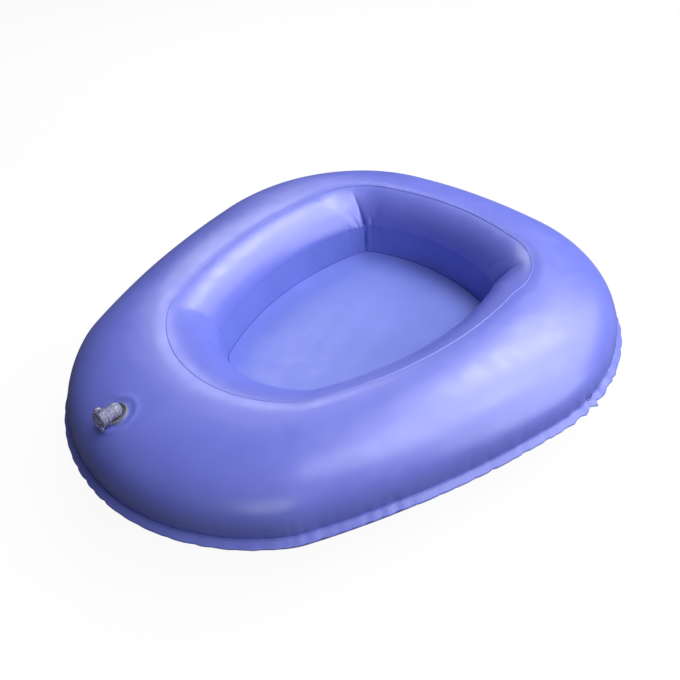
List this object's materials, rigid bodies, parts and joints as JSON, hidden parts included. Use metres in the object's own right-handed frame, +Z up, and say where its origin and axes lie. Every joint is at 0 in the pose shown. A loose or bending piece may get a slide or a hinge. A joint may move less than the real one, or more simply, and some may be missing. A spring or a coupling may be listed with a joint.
{
  "type": "inflatable bedpan",
  "caption": "Soft inflatable bedpan: welded PVC air ring, narrow in front and wide behind, around a shallow pan, with a plugged mouth valve.",
  "frame": {"origin": "middle of the footprint's bounding box, on the surface that the ring rests on", "axes": "+Y from the narrow end, which has the valve, to the wide end; +Z up; +X to the side"},
  "size_m": [0.368, 0.4, 0.0848],
  "materials": {
    "ring_film": "soft semi-gloss PVC film, periwinkle blue",
    "pan_film": "the same film as a single slightly see-through layer",
    "weld": "fused film, glossy and a little paler",
    "clear_moulding": "clear soft PVC moulding"
  },
  "bodies": {
    "ring": {"outer_skin": "ring_film", "inner_wall": "ring_film", "base_skin": "ring_film", "pan_wall": "pan_film", "pan_floor": "pan_film", "outer_weld": "weld", "crest_weld": "weld", "waist_weld": "weld", "floor_weld": "weld", "valve_flange": "clear_moulding"},
    "stem": {"valve_stem": "clear_moulding"},
    "plug": {"valve_plug": "clear_moulding", "plug_strap": "clear_moulding"},
    "flap": {"check_flap": "clear_moulding"}
  },
  "joints": [
    {"name": "stem_tilt", "type": "hinge", "parent": "ring", "child": "stem", "pos_m": [-0.01013, -0.16853, 0.07468], "axis": [-0.9714, -0.2217, -0.0852], "range_deg": [0, 64]},
    {"name": "plug_swing", "type": "hinge", "parent": "stem", "child": "plug", "pos_m": [-0.00921, -0.17591, 0.08339], "axis": [-0.9714, -0.2217, -0.0852], "range_deg": [0, 150]},
    {"name": "flap_open", "type": "hinge", "parent": "ring", "child": "flap", "pos_m": [-0.00952, -0.16075, 0.06527], "axis": [0.9969, -0.0783, 0], "range_deg": [0, 40], "stiffness_Nm_per_rad": 0.0002}
  ]
}
